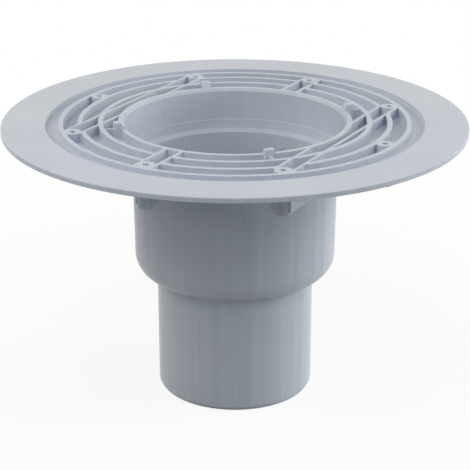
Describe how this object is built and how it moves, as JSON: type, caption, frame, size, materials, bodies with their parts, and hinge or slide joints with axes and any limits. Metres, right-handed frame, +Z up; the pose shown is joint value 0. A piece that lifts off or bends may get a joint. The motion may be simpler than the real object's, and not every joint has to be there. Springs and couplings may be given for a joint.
{
  "type": "floor drain body",
  "caption": "Round plastic floor drain body: wide sealing flange, ribbed pan with screw bosses around an inlet seat, tapered pot with a rounded shoulder and a plain vertical spigot.",
  "frame": {"origin": "centre of the spigot's lower end, on the drain's axis", "axes": "+Z up along the drain's axis, the straight ribs of the pan run along Y"},
  "size_m": [0.318, 0.318, 0.2001],
  "materials": {
    "drain_body": "light bluish-grey polypropylene, fine satin as moulded"
  },
  "bodies": {
    "root": {"drain_body": "drain_body"}
  },
  "joints": []
}
